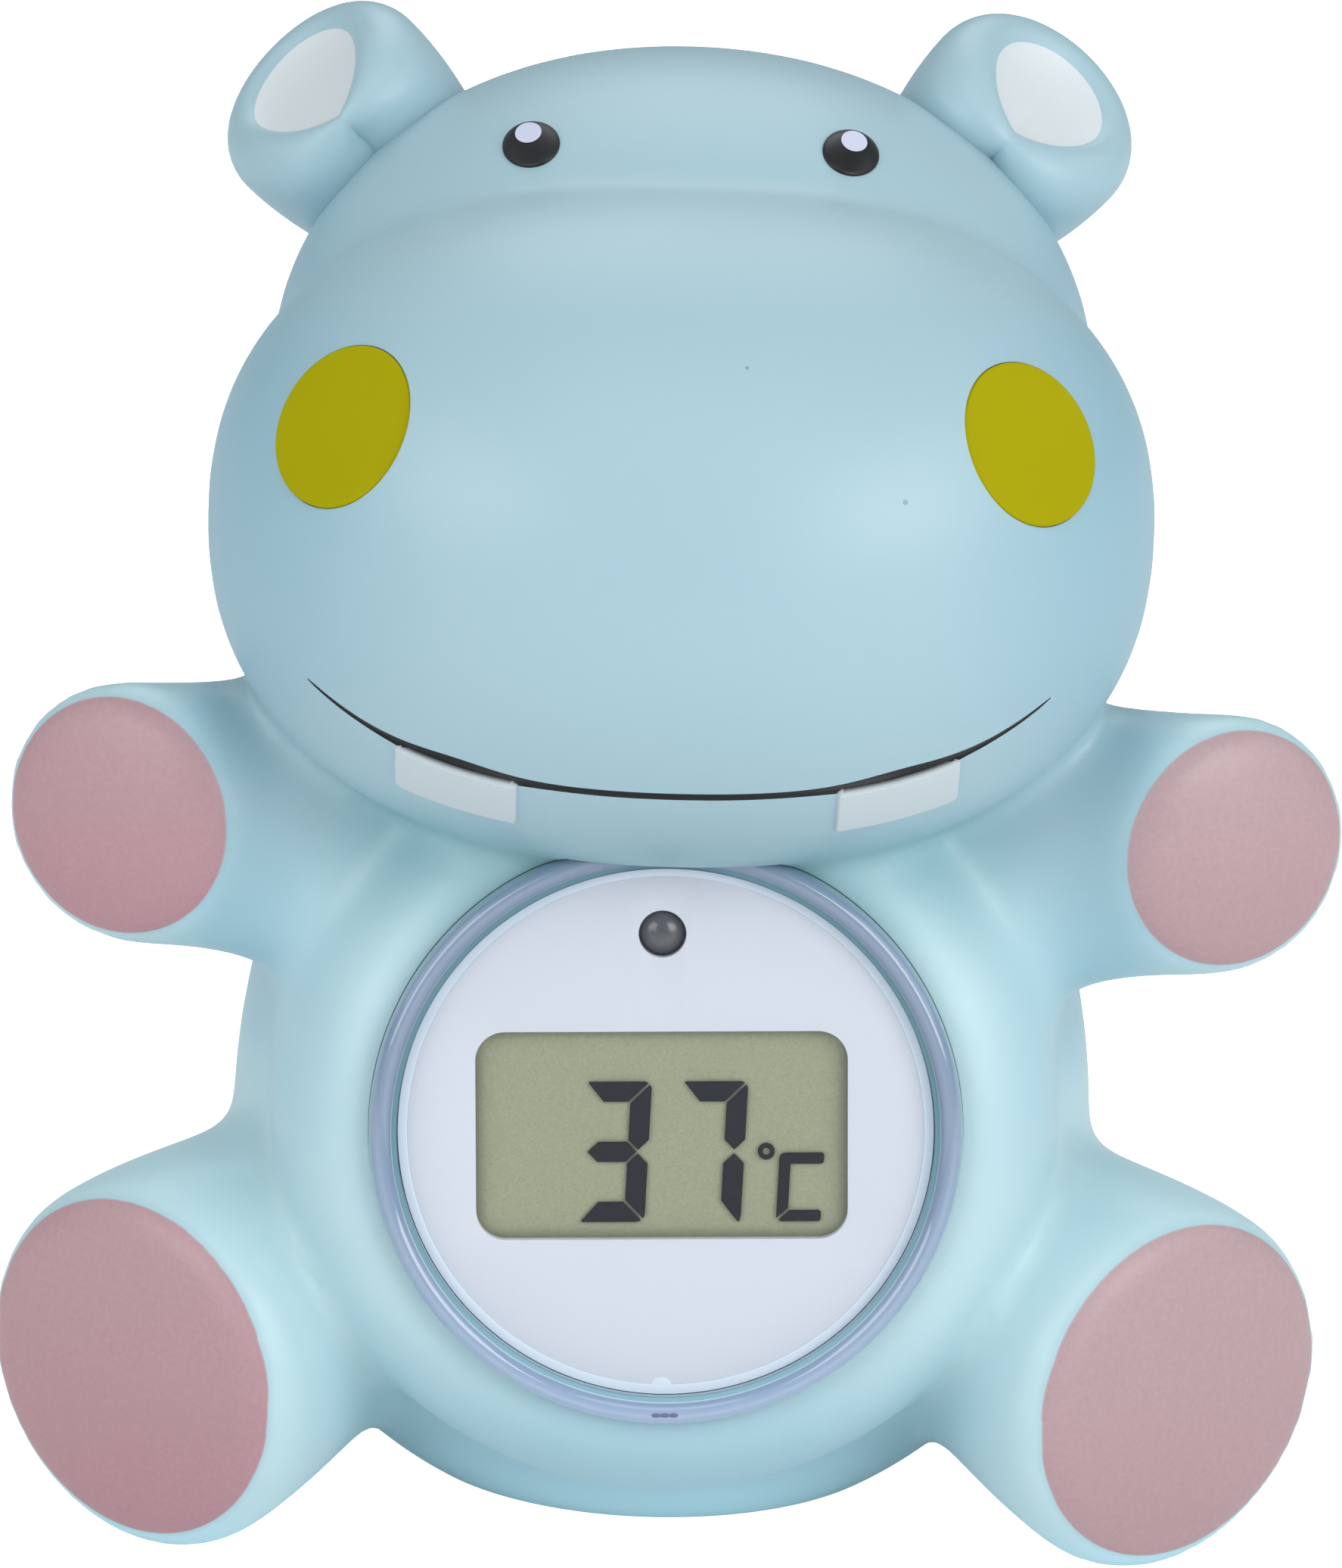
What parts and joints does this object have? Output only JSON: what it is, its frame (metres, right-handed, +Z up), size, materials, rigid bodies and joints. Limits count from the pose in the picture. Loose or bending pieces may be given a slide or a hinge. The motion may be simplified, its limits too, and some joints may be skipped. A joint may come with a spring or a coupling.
{
  "type": "baby bath thermometer",
  "caption": "Sitting vinyl hippo with a round digital thermometer module in its belly, for checking a baby's bath water.",
  "frame": {"origin": "on the flat seat under the torso, in the figure's middle plane", "axes": "+Z up, -Y the way the figure and its display face, +X to the viewer's right"},
  "size_m": [0.1006, 0.0747, 0.1115],
  "materials": {
    "blue_vinyl": "satin, soft moulded vinyl",
    "cheek_vinyl": "matt",
    "clear_plastic": "clear, polished",
    "white_plastic": "satin",
    "display_glass": "grey-green, matt front",
    "reflector_film": "satin",
    "grey_plastic": "fine texture",
    "black_rubber": "matt",
    "green_board": "solder mask",
    "black_epoxy": "glossy",
    "smoked_led": "smoked, polished",
    "steel": "plain"
  },
  "bodies": {
    "root": {"body_shell": "blue_vinyl", "left_cheek_disc": "cheek_vinyl", "right_cheek_disc": "cheek_vinyl", "front_cover": "clear_plastic", "face_plate": "white_plastic", "lcd_glass": "display_glass", "lcd_reflector": "reflector_film", "display_frame": "grey_plastic", "upper_connector_strip": "black_rubber", "lower_connector_strip": "black_rubber", "circuit_board": "green_board", "chip_cover": "black_epoxy", "alarm_led": "smoked_led", "rear_housing": "grey_plastic", "housing_seal": "black_rubber", "battery_carrier": "grey_plastic", "left_battery_cell": "steel", "right_battery_cell": "steel", "negative_contact": "steel", "positive_contact": "steel", "battery_bridge": "steel", "battery_door": "grey_plastic", "door_seal": "black_rubber", "left_door_screw": "steel", "right_door_screw": "steel", "sensor_cap": "steel", "thermistor": "black_epoxy"}
  },
  "joints": []
}
